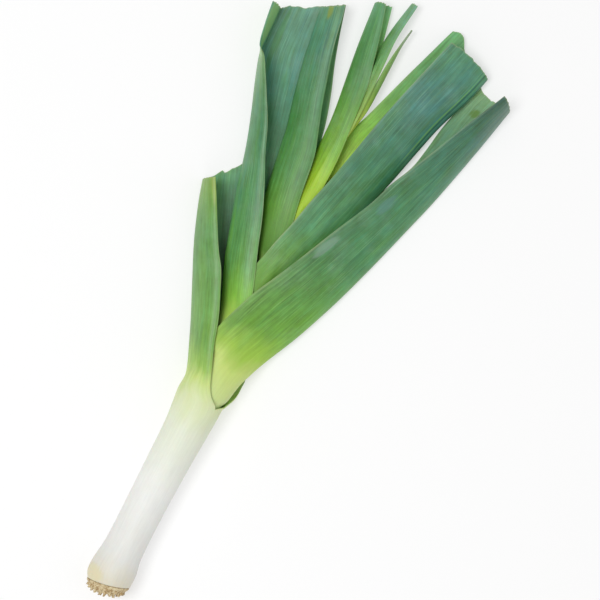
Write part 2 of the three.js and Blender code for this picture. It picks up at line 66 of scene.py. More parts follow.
# From the outermost leaf in. Each line holds (x, y, rise), and rise is the height over the axis of the
# bundle in units of the leaf's own radius there. side is the side of the keel: 1 left, -1 right.
# cut holds (place across, mm further along x): the front margin is at 0, the keel at 0.5, the back at 1.
leaves = [
    dict(name="leaf_left_outer", side=1, mouthX=151, roll=42, ownSlide=True,
         keel=[(160, 14.8, -0.7), (170, 18.8, -0.72), (180, 23, -0.75), (200, 31.6, -0.8),
               (225, 43.2, -0.84), (250, 54.5, -0.86), (275, 63.8, -0.87), (290.5, 68.4, -0.87)],
         front=[(158, -6.5, 0.95), (165, -2.5, 1.03), (175, 1.5, 1.05), (190, 7.5, 1.05),
               (210, 14, 1.05), (225, 20.5, 1.07), (240, 27.6, 1.1), (250, 34.4, 1.15),
               (262, 41.4, 1.25), (280, 51.3, 1.4), (295, 59.9, 1.55)],
         back=[(154, -17.5, 0.3), (157.5, -19.5, -0.15), (161, -21.2, -0.55), (165, -22.2, -0.85),
               (172, -22.4, -0.98), (178, -22.2, -1.03), (192, -15, -1), (220, -1, -1),
               (250, 13, -1.01), (280, 28, -1.03), (318, 44.5, -1.04)],
         cut=[(0, 0), (0.5, 0), (0.62, 0), (0.7, -0.2), (0.76, 1.2), (0.78, 1.1), (0.81, -1.6),
               (0.87, -0.6), (0.93, 0.2), (1, 0.5)]),
    dict(name="leaf_right_outer", side=-1, mouthX=180, roll=15, ownSlide=False,
         keel=[(153, -14.2, -0.24), (157.5, -16.4, -0.27), (162, -17.5, -0.32), (169.5, -18.6, -0.42),
               (177, -20.5, -0.51), (195, -28.4, -0.65), (220, -40.2, -0.75), (240, -48.3, -0.8),
               (260, -55.7, -0.85), (290, -65.5, -0.95), (325, -76, -1.04), (350, -83.3, -1.1),
               (390, -93.2, -1.15), (430, -102.3, -1.18)],
         front=[(190, 12.3, 0.85), (200, 12, 1), (215, 7.5, 1), (235, 0, 1), (255, -10, 1),
               (275, -19.5, 1), (300, -31, 1), (326, -43.5, 1), (349, -52.3, 1.05), (362, -58.5, 1.1),
               (380, -67, 1.2), (400, -76, 1.3), (437.5, -93.2, 1.5)],
         back=[(215, 7, -1), (240, 0, -1), (270, -14, -1), (300, -29, -1.04), (325, -42, -1.08),
               (349, -51.8, -1.1), (365, -59, -1.12), (380, -62.2, -1.14), (400, -65.4, -1.16),
               (416, -69.5, -1.17), (434, -75.8, -1.18)],
         cut=[(0, -1), (0.15, 0), (0.35, 1), (0.5, 1.2), (0.6, 0.8), (0.75, 0.7), (0.83, 0.6),
               (0.9, 0.8), (0.95, 2), (1, 4.2)]),
    dict(name="leaf_left_middle", side=1, mouthX=205, roll=30, ownSlide=False,
         keel=[(200, 10.5, -0.5), (210, 13.5, -0.55), (225, 19.5, -0.65), (240, 26, -0.75),
               (250, 29.9, -0.8), (270, 36.2, -0.88), (300, 45.4, -0.95), (313, 48.4, -1),
               (330, 53.2, -1.1), (350, 60, -1.2), (370, 67.4, -1.24), (388, 73.1, -1.26),
               (400, 74, -1.26), (422.5, 74.6, -1.26)],
         front=[(215, -6.5, 0.85), (225, -3.2, 1), (245, 4, 1), (265, 11.5, 1), (285, 18.5, 1),
               (305, 27, 1.02), (325, 36.5, 1.08), (345, 45, 1.2), (365, 56, 1.4), (376, 62.3, 1.6),
               (386, 68.4, 1.75), (391, 74.2, 1.8), (405, 77.6, 1.85), (422, 80, 1.8)],
         back=[(240, -5, -1), (265, 3, -1), (300, 15, -1.04), (340, 25, -1.12), (380, 32, -1.24),
               (410, 37, -1.27), (437, 40.5, -1.27)],
         cut=[(0, 0), (0.3, 0.2), (0.5, 0.4), (0.58, 1.6), (0.65, 2.8), (0.73, 3), (0.79, 2.3),
               (0.85, 3.3), (0.885, 4.5), (0.95, 4.4), (1, 4)]),
    dict(name="leaf_right_middle", side=-1, mouthX=232, roll=25, ownSlide=False,
         keel=[(218, -9.2, -0.42), (228, -11.6, -0.45), (240, -15, -0.5), (260, -22, -0.6),
               (280, -29, -0.7), (300, -36, -0.8), (327, -44, -0.85), (350, -50.5, -0.85),
               (380, -58, -0.85), (400, -63.5, -0.85), (430, -74.5, -0.85), (443, -78, -0.85)],
         front=[(242, 8.2, 0.85), (252, 8, 1), (262, 5.5, 1), (275, 2.5, 1), (292, -2.2, 1),
               (310, -6.3, 1), (330, -11.8, 1), (350, -16.5, 1), (380, -23.3, 1), (410, -31, 1),
               (453, -43.5, 1)],
         back=[(267, 4, -1), (290, 1, -1), (320, -4.2, -1), (350, -7.8, -1.05), (368, -9.6, -1.08),
               (376, -11.6, -1.1), (382, -14, -1.1), (400, -19.8, -1.1), (430, -29.6, -1.1),
               (461, -41, -1.1)],
         cut=[(0, 1), (0.1, 2.7), (0.3, 2.7), (0.4, 1.8), (0.47, 1.3), (0.5, 0.8), (0.6, 0),
               (0.8, -0.4), (0.87, 0.8), (0.9, 5.4), (0.95, 6.4), (1, 2.4)]),
    dict(name="leaf_left_inner", side=1, mouthX=262, roll=25, ownSlide=False,
         keel=[(244, 3.5, -0.42), (255, 7, -0.45), (265, 12, -0.5), (280, 18.5, -0.65),
               (293, 22.6, -0.8), (310, 25.8, -0.9), (340, 30.6, -1), (350, 32.2, -1.04),
               (377, 39, -1.13), (400, 43.6, -1.2), (436.5, 49.2, -1.2)],
         front=[(270, -5.6, 0.85), (280, -3.9, 1), (292, -2, 1), (310, 1.3, 1), (340, 5.6, 1),
               (355, 10.4, 1), (375, 17.2, 1), (395, 22.9, 1), (415, 28.4, 1), (437, 32.6, 1),
               (444, 34.3, 1)],
         back=[(296, -5.5, -1), (320, -1.5, -1), (345, 5, -1.1), (365, 9.3, -1.2), (385, 15.3, -1.3),
               (405, 22.6, -1.35), (424, 28.5, -1.35), (446, 34.5, -1.35)],
         cut=[(0, 0), (0.15, -1), (0.3, -0.7), (0.5, 0), (0.75, 0.4), (1, 0)]),
    dict(name="leaf_heart_wide", side=1, mouthX=300, roll=20, ownSlide=False,
         keel=[(290, 1.9, -0.4), (310, 4.2, -0.5), (340, 5.8, -0.6), (365, 6.4, -0.7),
               (380, 7.8, -0.8), (395, 9.8, -0.9), (425, 13.7, -1.1), (456.2, 16.5, -1.3)],
         front=[(310, -8.4, 0.9), (325, -9.8, 1.08), (345, -10, 1.12), (370, -8, 1.08),
               (400, -5.3, 0.95), (420, -0.9, 0.8), (437.5, 3.4, 0.65), (457.9, 9.5, 0.5)],
         back=[(345, -7.5, -1), (370, -9, -1), (400, -7.3, -1.1), (425, -2.8, -1.4), (434, -1, -1.5),
               (448.5, 2.3, -1.7), (459.5, 4.9, -1.8)],
         cut=[(0, 0), (0.3, 0.5), (0.45, -0.2), (0.5, -0.6), (0.75, 0), (1, 0)]),
    dict(name="leaf_heart_narrow", side=1, mouthX=345, roll=10, ownSlide=False,
         keel=[(335, -0.6, -0.3), (370, -1, -0.6), (390, -2, -0.8), (410, -2.4, -1), (430, -1.4, -1.2),
               (445, -2.7, -1.4), (466.7, -6.7, -1.8)],
         front=[(360, -8.8, 1), (385, -9.8, 1.05), (400, -9.6, 1.05), (420, -8.9, 0.8),
               (440, -8.4, 0.4), (467, -11.1, -0.6)],
         back=[(385, -8.8, -1), (400, -9.1, -1.1), (420, -8.6, -1.5), (440, -8.1, -2),
               (466.9, -10.9, -2.8)],
         cut=[(0, 0), (0.3, 0.6), (0.5, 0), (1, 0)]),
    dict(name="leaf_heart_tip", side=-1, mouthX=372, roll=0, ownSlide=False,
         keel=[(355, -7.2, -0.4), (370, -10, -0.6), (385, -12.5, -0.8), (400, -13.1, -1),
               (425, -13.3, -1.6), (437, -13.6, -2.1), (450, -15.1, -2.7)],
         front=[(385, -8.5, 0.8), (400, -9.3, 0.75), (420, -10.2, 0.4), (435, -12, -0.4),
               (450, -14.8, -1.9)],
         back=[(400, -9.3, -1.1), (420, -10.2, -1.9), (435, -12, -2.8), (450, -14.8, -3.4)],
         cut=[(0, 0), (1, 0)]),
]


# Hermite curve through rows whose first number is x: each row's slope is that of the line between
# its two neighbours. Returns one column for each further number, at every x asked for.
def through(rows, x):
    rows = np.array(rows, float)
    x = np.atleast_1d(np.asarray(x, float))
    knots, values = rows[:, :1], rows[:, 1:]
    chords = np.diff(values, axis=0) / np.diff(knots, axis=0)
    inner = (values[2:] - values[:-2]) / (knots[2:] - knots[:-2])
    slopes = np.vstack([chords[:1], inner, chords[-1:]])
    i = np.clip(np.searchsorted(rows[:, 0], x, side="right") - 1, 0, len(rows) - 2)
    width = knots[i + 1] - knots[i]
    t = np.clip((x[:, None] - knots[i]) / width, 0, 1)
    return ((2 * t**3 - 3 * t**2 + 1) * values[i] + (t**3 - 2 * t**2 + t) * width * slopes[i]
            + (3 * t**2 - 2 * t**3) * values[i + 1] + (t**3 - t**2) * width * slopes[i + 1])


# 0 under low, 1 over high, and 3t^2 - 2t^3 between them
def smooth(low, high, x):
    t = np.clip((x - low) / (high - low), 0, 1)
    return t * t * (3 - 2 * t)


# The tube of one layer at every x: y and height of its axis, and its radius
def tube(layer, x):
    y, z, radius = through(bundle["axis"], np.ravel(x)).T
    return [v.reshape(np.shape(x)) for v in (y, z, radius * (1 - bundle["layerStep"] * layer))]


# Points of a leaf's line at every x, with the line's rise turned into a height
def onLine(line, layer, x):
    y, rise = through(line, x).T
    _, axisZ, radius = tube(layer, x)
    return np.stack([x, y, axisZ + rise * radius], axis=1)


# A point on a layer's tube as a row of a line: the angle is above the level of the axis, on the side
# away from the keel, and off is the distance from the axis in radii
def onTube(leaf, layer, x, angle, off=1):
    y, _, radius = (float(v) for v in tube(layer, float(x)))
    return (x, y - leaf["side"] * off * radius * np.cos(angle), off * np.sin(angle))


# Both halves of a leaf's sections, as points[row, column, xyz] from the front margin over the keel to
# the back margin. Each half is a cubic Bezier from keel to margin. Its handles draw an arc about the
# tube's axis in the sheath. In the blade they climb straight from the keel and run flat to the margin.
# A point inside the layer's tube is moved out to it.
def leafSections(leaf, layer, lines, at, halfColumns):
    side, mouthX = leaf["side"], leaf["mouthX"]
    keel = onLine(lines["keel"], layer, at["keel"])
    unrolled = smooth(mouthX, mouthX + fold["openingLength"], at["keel"])[:, None]
    axisY, axisZ, radius = tube(layer, at["keel"])

    def angleOf(p):
        return np.arctan2(p[:, 2] - axisZ, side * (p[:, 1] - axisY))

    def along(p, length):
        a = angleOf(p)
        return np.stack([0 * a, -side * np.sin(a) * length, np.cos(a) * length], axis=1)

    t = np.linspace(0, 1, halfColumns + 1)[None, :, None]
    halves = []
    for name, up in (("front", 1), ("back", -1)):
        margin = onLine(lines[name], layer, at[name])
        turn = np.mod(up * (angleOf(margin) - angleOf(keel)), 2 * np.pi)
        handle = up * 4 / 3 * np.tan(turn / 4)
        keelAway = np.hypot(keel[:, 1] - axisY, keel[:, 2] - axisZ)
        reach = np.minimum((radius + keelAway) / 2, fold["longestReach"] * radius)
        foldKeel = np.zeros_like(keel)
        foldKeel[:, 2] = (margin[:, 2] - keel[:, 2]) * fold["keelHandle"]
        foldMargin = (keel - margin) * fold["marginHandle"]
        foldMargin[:, 2] = fold["crown"] * radius if up > 0 else 0
        fromKeel = keel + along(keel, handle * reach) * (1 - unrolled) + foldKeel * unrolled
        fromMargin = margin + along(margin, -handle * radius) * (1 - unrolled) + foldMargin * unrolled
        half = ((1 - t)**3 * keel[:, None] + 3 * (1 - t)**2 * t * fromKeel[:, None]
                + 3 * (1 - t) * t**2 * fromMargin[:, None] + t**3 * margin[:, None])
        floor = np.minimum(np.minimum(keel[:, 2], margin[:, 2]), axisZ - radius)
        half[..., 2] = np.maximum(half[..., 2], floor[:, None])
        halves.append(half)
    points = np.concatenate([halves[0][:, ::-1], halves[1][:, 1:]], axis=1)
    y, z, clear = tube(layer, points[..., 0])
    x = points[..., 0]
    reached, fading, over = (mouthX + past for past in fold["liftOver"])
    justPast = smooth(mouthX, reached, x) * (1 - smooth(fading, over, x))
    clear = clear * (1 + fold["mouthLift"] * justPast) * (1 - smooth(*fold["looseFrom"], x))
    dy, dz = points[..., 1] - y, points[..., 2] - z
    push = np.maximum(clear / np.maximum(np.hypot(dy, dz), 1e-6), 1)
    points[..., 1], points[..., 2] = y + dy * push, z + dz * push
    return points


# The middle surface of a leaf. Rows run from the root plate to the cut, and v is each column's place
# across it: 0 the front margin, 0.5 the keel, 1 the back margin.
def leafSurface(leaf, layer):
    mouthX, roll = leaf["mouthX"], np.radians(leaf["roll"])
    before = [row[0] for row in bundle["axis"] if row[0] < mouthX - fold["spare"]]
    seam = [onTube(leaf, layer, x, roll) for x in before + [mouthX]]
    slide = [onTube(leaf, layer, mouthX + past, roll + (-np.pi / 2 - roll) * share, off)
             for past, share, off in ([] if leaf["ownSlide"] else fold["slide"])]
    keelStart = []
    for x in before:
        if x < leaf["keel"][0][0] - fold["spare"]:
            y, _, radius = (float(v) for v in tube(layer, float(x)))
            keelStart.append((x, y + leaf["side"] * radius * np.cos(roll), -np.sin(roll)))
    lines = dict(keel=keelStart + leaf["keel"], front=seam + leaf["front"], back=seam + slide + leaf["back"])
    sheath = np.linspace(bundle["sheathBase"], mouthX,
                         int((mouthX - bundle["sheathBase"]) / grid["sheathStep"]) + 1)
    blade = np.linspace(0, 1, int((leaf["keel"][-1][0] - mouthX) / grid["bladeStep"]) + 1)[1:]
    x = {name: np.concatenate([sheath, mouthX + (leaf[name][-1][0] - mouthX) * blade])
         for name in ("keel", "front", "back")}
    points = leafSections(leaf, layer, lines, x, grid["halfColumns"])
    v = np.linspace(0, 1, points.shape[1])
    beforeCut = points[..., 0] - points[-1, :, 0]
    points[..., 0] += cutEdge(leaf, layer, v) * smooth(-fold["cutLength"], 0, beforeCut)
    return points, v, len(sheath) - 1


# How far each column runs past the straight cut: the leaf's own line, and fine notches from four waves
def cutEdge(leaf, layer, v):
    waves = (np.sin(61 * v + 3 * layer) + np.sin(97 * v + 5 * layer) * np.sin(23 * v + layer)
             + 0.7 * np.sin(149 * v - 7 * layer))
    return through(leaf["cut"], v)[:, 0] + fold["ragged"] * waves


# Closed shell of a middle surface: each point is moved half the leaf's thickness along the surface's
# normal, outwards and inwards. Up to mouthRow the last column is the first one, so the sheath is a tube.
# Returns vertices, quads, and for every corner its UV, its side of the leaf and its distance from the cut.
def leafShell(leaf, points, v, mouthRow):
    rows, columns = points.shape[:2]
    alongRow = np.gradient(points, axis=0)
    across = np.gradient(points, axis=1)
    wrapped = points[:mouthRow + 1, 1] - points[:mouthRow + 1, -2]
    across[:mouthRow + 1, 0] = across[:mouthRow + 1, -1] = wrapped
    normal = np.cross(alongRow, across) * leaf["side"]
    normal /= np.maximum(np.linalg.norm(normal, axis=2, keepdims=True), 1e-9)
    x = points[..., 0]
    fromKeel = np.abs(2 * v - 1)[None, :]
    bladeThickness = bundle["keelThickness"] + (
        bundle["marginThickness"] - bundle["keelThickness"]) * np.sqrt(fromKeel)
    share = smooth(leaf["mouthX"] - fold["wallChange"], leaf["mouthX"] + fold["wallChange"], x)
    thickness = bundle["sheathWall"] * (1 - share) + bladeThickness * share
    sides = []
    for way in (0.5, -0.5):
        side = points + normal * (thickness * way)[..., None]
        lean = 1 - smooth(bundle["sheathBase"], bundle["tiltEnd"], side[..., 0])
        side[..., 0] -= bundle["rootTilt"] * side[..., 1] * lean
        side[..., 2] = np.maximum(side[..., 2], 0)
        sides.append(side)
    vertices = np.concatenate([s.reshape(-1, 3) for s in sides])
    ids = np.arange(2 * rows * columns).reshape(2, rows, columns)
    shared = ids.copy()
    shared[:, :mouthRow + 1, -1] = shared[:, :mouthRow + 1, 0]

    def quads(a, b, c, d):
        return np.stack([np.ravel(n) for n in (a, b, c, d)], axis=1)

    # The rim joins the two sides along a row or column of each, and goes round the shell one way
    def rim(outer, inner):
        return quads(outer[1:], outer[:-1], inner[:-1], inner[1:])

    outer, inner = ids
    corners = np.concatenate([
        quads(outer[:-1, :-1], outer[1:, :-1], outer[1:, 1:], outer[:-1, 1:]),
        quads(inner[:-1, :-1], inner[:-1, 1:], inner[1:, 1:], inner[1:, :-1]),
        rim(outer[mouthRow:, 0], inner[mouthRow:, 0]),
        rim(outer[mouthRow:, -1][::-1], inner[mouthRow:, -1][::-1]),
        rim(outer[0][::-1], inner[0][::-1]),
        rim(outer[-1], inner[-1])])
    if leaf["side"] < 0:
        corners = corners[:, ::-1]
    uv = np.stack([vertices[corners, 0] / bundle["overallLength"], np.tile(v, 2 * rows)[corners]], axis=2)
    inside = (corners >= rows * columns).astype(float)
    fromCut = np.tile(np.linalg.norm(points - points[-1], axis=2).ravel(), 2)[corners]
    return vertices, np.ravel(shared)[corners], uv, dict(inside=inside, fromCut=fromCut)


# A mesh object from arrays in millimetres: quads, a UV for every corner, and named corner values
def meshPiece(name, vertices, quads, uv=None, values=None):
    used, quads = np.unique(quads, return_inverse=True)
    quads = quads.reshape(-1, 4)
    vertices = (vertices[used] - (bundle["restX"], 0, 0)) * mm
    mesh = bpy.data.meshes.new(name)
    mesh.vertices.add(len(vertices))
    mesh.vertices.foreach_set("co", vertices.astype(np.float32).ravel())
    mesh.loops.add(quads.size)
    mesh.loops.foreach_set("vertex_index", quads.astype(np.int32).ravel())
    mesh.polygons.add(len(quads))
    mesh.polygons.foreach_set("loop_start", np.arange(0, quads.size, 4, dtype=np.int32))
    mesh.polygons.foreach_set("use_smooth", np.ones(len(quads), bool))
    if uv is not None:
        layer = mesh.uv_layers.new(name="UVMap")
        layer.data.foreach_set("uv", uv.astype(np.float32).ravel())
    for key, corner in (values or {}).items():
        attribute = mesh.attributes.new(key, "FLOAT", "CORNER")
        attribute.data.foreach_set("value", corner.astype(np.float32).ravel())
    mesh.update(calc_edges=True)
    mesh.validate()
    mesh.set_sharp_from_angle(angle=np.radians(grid["sharpAngle"]))
    piece = bpy.data.objects.new(name, mesh)
    bpy.context.scene.collection.objects.link(piece)
    return piece


# One number or colour in a material, so that a pattern reads as arithmetic
class Wire:
    def __init__(self, finish, socket):
        self.finish, self.socket = finish, socket

    def maths(self, operation, *others):
        return self.finish.node("ShaderNodeMath", dict(operation=operation), [self, *others])

    def __add__(self, other):
        return self.maths("ADD", other)

    def __mul__(self, other):
        return self.maths("MULTIPLY", other)

    def __sub__(self, other):
        return self.maths("SUBTRACT", other)

    def __truediv__(self, other):
        return self.maths("DIVIDE", other)

    def __pow__(self, other):
        return self.maths("POWER", other)

    def __rsub__(self, other):
        return self.finish.node("ShaderNodeMath", dict(operation="SUBTRACT"), [other, self])

    __radd__, __rmul__ = __add__, __mul__

    # The number without its sign
    def size(self):
        return self.maths("ABSOLUTE")

    # 0 under low, 1 over high, smooth between
    def between(self, low, high):
        return self.finish.node("ShaderNodeMapRange", dict(interpolation_type="SMOOTHSTEP"),
                                {"Value": self, "From Min": low, "From Max": high}, "Result")


# A material built from nodes around one Principled shader
class Finish:
    def __init__(self, name, **constants):
        self.material = bpy.data.materials.new(name)
        self.material.use_nodes = True
        self.tree = self.material.node_tree
        self.shader = self.tree.nodes["Principled BSDF"]
        for socket, value in constants.items():
            self.shader.inputs[socket.replace("_", " ")].default_value = value

    # Any node: its type, its settings, its inputs by place or by name, and the output to read
    def node(self, kind, settings=None, inputs=None, output=0):
        made = self.tree.nodes.new(kind)
        for key, value in (settings or {}).items():
            setattr(made, key, value)
        pairs = inputs.items() if isinstance(inputs, dict) else enumerate(inputs or [])
        for key, value in pairs:
            if isinstance(value, Wire):
                self.tree.links.new(value.socket, made.inputs[key])
            elif value is not None:
                made.inputs[key].default_value = value
        return Wire(self, made.outputs[output])

    # The mesh's own U and V
    def uv(self):
        split = self.node("ShaderNodeSeparateXYZ", {}, [self.node("ShaderNodeUVMap", dict(uv_map="UVMap"))])
        return split, Wire(self, split.socket.node.outputs[1])

    # Object coordinates in metres
    def place(self):
        return self.node("ShaderNodeTexCoord", output="Object")

    # A named corner value of the mesh
    def value(self, name):
        return self.node("ShaderNodeAttribute", dict(attribute_name=name), output="Fac")

    def vector(self, x, y, z):
        return self.node("ShaderNodeCombineXYZ", {}, [x, y, z])

    # Fractal noise about 0.5
    def noise(self, vector, scale, detail=3.0, rough=0.55):
        return self.node("ShaderNodeTexNoise", {},
                         {"Vector": vector, "Scale": scale, "Detail": detail, "Roughness": rough}, "Fac")

    # Colour a where share is 0 and b where it is 1. MULTIPLY gives a times b there.
    def mix(self, share, a, b, blend="MIX"):
        return self.node("ShaderNodeMix", dict(data_type="RGBA", blend_type=blend, clamp_factor=True),
                         {0: share, 6: a, 7: b}, 2)

    # Colours between stops of (share, screen colour of 0 to 255)
    def ramp(self, share, stops):
        made = self.node("ShaderNodeValToRGB", {}, [share], "Color")
        ramp = made.socket.node.color_ramp
        while len(ramp.elements) < len(stops):
            ramp.elements.new(0.5)
        for element, (place, colour) in zip(ramp.elements, stops):
            element.position, element.color = place, onScreen(colour)
        return made

    # Wires to the shader's own inputs, by their names
    def set(self, **wires):
        for socket, wire in wires.items():
            self.tree.links.new(wire.socket, self.shader.inputs[socket.replace("_", " ")])

    def bump(self, height, strength, distance):
        self.set(Normal=self.node("ShaderNodeBump", {},
                                  {"Height": height, "Strength": strength, "Distance": distance}, "Normal"))


# A screen colour of 0 to 255 as Blender's linear one
def onScreen(colour):
    c = np.array(colour) / 255
    return (*np.where(c <= 0.04045, c / 12.92, ((c + 0.055) / 1.055)**2.4), 1.0)


# What each leaf looks like from its root to its cut: screen colours at x, outside and inside the fold.
# A painted light brightens the outside along the keel, where its flank lies in shade, by one factor near the
# mouth and one far from it, and a painted shade darkens it along the margins by one factor.
looks = dict(
    leaf_left_outer=dict(
        outside=[(0, (220, 210, 180)), (30, (230, 230, 225)), (80, (240, 240, 235)), (125, (230, 235, 215)),
                 (150, (220, 230, 180)), (165, (200, 220, 130)), (175, (150, 190, 85)), (190, (115, 165, 75)),
                 (260, (95, 150, 75)), (300, (130, 170, 65))],
        inside=[(150, (170, 205, 110)), (200, (65, 115, 60)), (250, (45, 105, 50)), (290, (90, 155, 100))],
        paintedKeelLight=(1.0, 1.0), paintedMarginShade=1.0),
    leaf_right_outer=dict(
        outside=[(0, (245, 245, 240)), (140, (210, 225, 165)), (180, (200, 220, 120)), (195, (160, 200, 70)),
                 (215, (110, 165, 55)), (285, (75, 135, 80)), (340, (75, 135, 90)), (400, (65, 120, 95)),
                 (440, (70, 105, 85))],
        inside=[(180, (190, 210, 130)), (350, (110, 160, 110)), (395, (100, 155, 110)),
                (430, (135, 180, 130))],
        paintedKeelLight=(1.25, 1.25), paintedMarginShade=0.85),
    leaf_left_middle=dict(
        outside=[(0, (245, 245, 240)), (180, (220, 230, 170)), (210, (185, 225, 95)), (225, (140, 200, 70)),
                 (250, (110, 170, 85)), (290, (90, 150, 95)), (350, (80, 140, 90)), (385, (110, 160, 100)),
                 (425, (140, 190, 120))],
        inside=[(205, (120, 170, 90)), (260, (60, 120, 65)), (310, (70, 150, 90)), (340, (60, 130, 80)),
                (380, (75, 145, 115)), (435, (100, 150, 120))],
        paintedKeelLight=(2.2, 1.1), paintedMarginShade=0.85),
    leaf_right_middle=dict(
        outside=[(0, (245, 245, 240)), (200, (220, 230, 170)), (235, (110, 160, 55)), (260, (110, 165, 75)),
                 (295, (90, 150, 95)), (350, (70, 130, 90)), (410, (80, 135, 115)), (460, (85, 145, 110))],
        inside=[(230, (190, 215, 110)), (330, (205, 240, 75)), (370, (150, 205, 55)), (400, (120, 185, 85)),
                (430, (105, 170, 105))],
        paintedKeelLight=(2.1, 1.2), paintedMarginShade=0.9),
    leaf_left_inner=dict(
        # The dark stop at 265 is a painted shadow where the left middle leaf's margin lies over this leaf's
        # base
        outside=[(0, (245, 245, 240)), (230, (215, 225, 140)), (265, (85, 135, 35)), (295, (95, 155, 45)),
                 (320, (85, 145, 75)), (360, (75, 140, 75)), (410, (85, 140, 105)), (445, (95, 150, 110))],
        inside=[(260, (150, 190, 80)), (340, (50, 135, 35)), (400, (90, 155, 90)), (445, (80, 140, 90))],
        paintedKeelLight=(1.15, 1.15), paintedMarginShade=0.9),
    leaf_heart_wide=dict(
        outside=[(0, (245, 245, 235)), (260, (220, 230, 150)), (300, (175, 210, 55)), (325, (160, 200, 40)),
                 (350, (120, 175, 50)), (400, (80, 140, 65)), (460, (90, 150, 100))],
        inside=[(300, (180, 210, 80)), (380, (110, 170, 65)), (420, (135, 205, 100)), (460, (120, 185, 120))],
        paintedKeelLight=(1.2, 1.2), paintedMarginShade=1.0),
    leaf_heart_narrow=dict(
        outside=[(0, (245, 245, 235)), (300, (230, 235, 150)), (350, (190, 215, 85)), (390, (130, 170, 65)),
                 (420, (110, 165, 90)), (465, (120, 170, 130))],
        inside=[(345, (190, 215, 90)), (465, (100, 155, 90))],
        paintedKeelLight=(1.0, 1.0), paintedMarginShade=1.0),
    leaf_heart_tip=dict(
        outside=[(0, (245, 245, 230)), (330, (230, 235, 150)), (370, (190, 215, 80)), (400, (125, 170, 75)),
                 (430, (135, 175, 105)), (450, (170, 185, 160))],
        inside=[(370, (200, 220, 95)), (450, (120, 160, 90))],
        paintedKeelLight=(1.0, 1.0), paintedMarginShade=1.0))
# Noises of the leaves: waves along the whole bundle, waves from margin to margin, step of the noise from
# one leaf to the next, and detail
patterns = dict(drift=(14, 9, 3.7, 2), bands=(11, 14, 7.9, 3), streaks=(26, 55, 5.1, 4),
                veins=(13, 180, 2.3, 2))
# A pair that ends in From holds the ends of a smooth change from 0 to 1, one in Under those from 1 to 0
surface = dict(
    # mm past a leaf's mouth: its patterns, the colours inside its fold, and the change of its painted keel
    # light to the far factor
    greenFrom=(0, 45), insideFrom=(-30, 0), farKeelLightFrom=(50, 110),
    # in shares of the half width: the painted light along the keel fades, the painted shade of the margins
    # sets in
    keelLightUnder=(0, 0.5), marginShadeFrom=(0.4, 1),
    drift=0.045,  # how far the colours shift to and fro, as a share of the bundle
    blotchWaves=90, patchWaves=34,  # to the metre
    # how much the streaks, the fine veins and the blotches lighten and darken, and the share of that
    # which the pale shank has
    streaks=0.95, veins=0.7, blotches=0.6, shankShare=0.15,
    # waxBlend: shares of bands, streaks and blotches. Where it is high, the linear colour is multiplied
    # by waxy, and where it is low, by fresh.
    waxBlend=(0.6, 0.15, 0.25), waxFrom=(0.5, 0.62), waxy=(0.82, 0.97, 1.3), waxShare=0.55,
    freshUnder=(0.38, 0.5), fresh=(1.08, 1.06, 0.62), freshShare=0.6,
    # bloom: the pale wax in patches
    bloom=(195, 210, 205), bloomFrom=(0.48, 0.78), bloomStreaks=0.8, bloomShare=0.1,
    line=(175, 210, 150), lineFrom=(0.56, 0.68), lineShare=0.224,
    margin=(205, 215, 150), marginWidth=0.02, marginPatchFrom=(0.4, 0.6), marginLeast=0.2,
    marginShare=0.25,
    cut=(175, 190, 130), cutDepth=1.2, cutShare=0.35,
    markRagged=1.6, markUnder=(0.3, 1.2),
    coat=0.06, coatRoughness=0.35, scatter=0.08, scatterDepth=2 * mm,
    roughness=0.44, duller=0.2, roughPatches=0.25,  # duller: what the shank has more
    # relief: shares of veins and streaks
    relief=(0.7, 0.5), reliefStrength=0.5, reliefHeight=0.12 * mm)
# Marks on the leaves: x and place across, their half lengths along and across, screen colour, share
marks = dict(
    leaf_left_outer=[(291, 0.05, 14, 0.05, (175, 190, 105), 0.4), (12, 0.27, 7, 0.11, (225, 215, 170), 0.65)],
    leaf_right_outer=[(419, 0.865, 4, 0.04, (100, 140, 40), 0.8),
                      (287, 0.05, 11, 0.035, (140, 170, 150), 0.45),
                      (332, 0.1, 10, 0.045, (95, 140, 135), 0.5)],
    # A paler green on the standing front flap near the tip, partly its fresher colour and partly painted
    # light where the steep flap lies in shade; along the back half a painted shade of a crease
    leaf_left_middle=[(408, 0.22, 26, 0.2, (160, 210, 130), 0.85),
                      (402, 0.68, 26, 0.035, (70, 140, 60), 0.5)],
    leaf_left_inner=[(438, 0.2, 9, 0.05, (150, 160, 40), 0.6)],
    # Along the keel near the tip: a painted highlight where the fold rounds over, and two bands of painted
    # shade on the flank that turns away from the light
    leaf_right_middle=[(402, 0.36, 52, 0.008, (130, 190, 90), 0.6),
                       (408, 0.385, 60, 0.012, (45, 90, 70), 0.6),
                       (405, 0.46, 52, 0.02, (30, 80, 60), 0.5)])
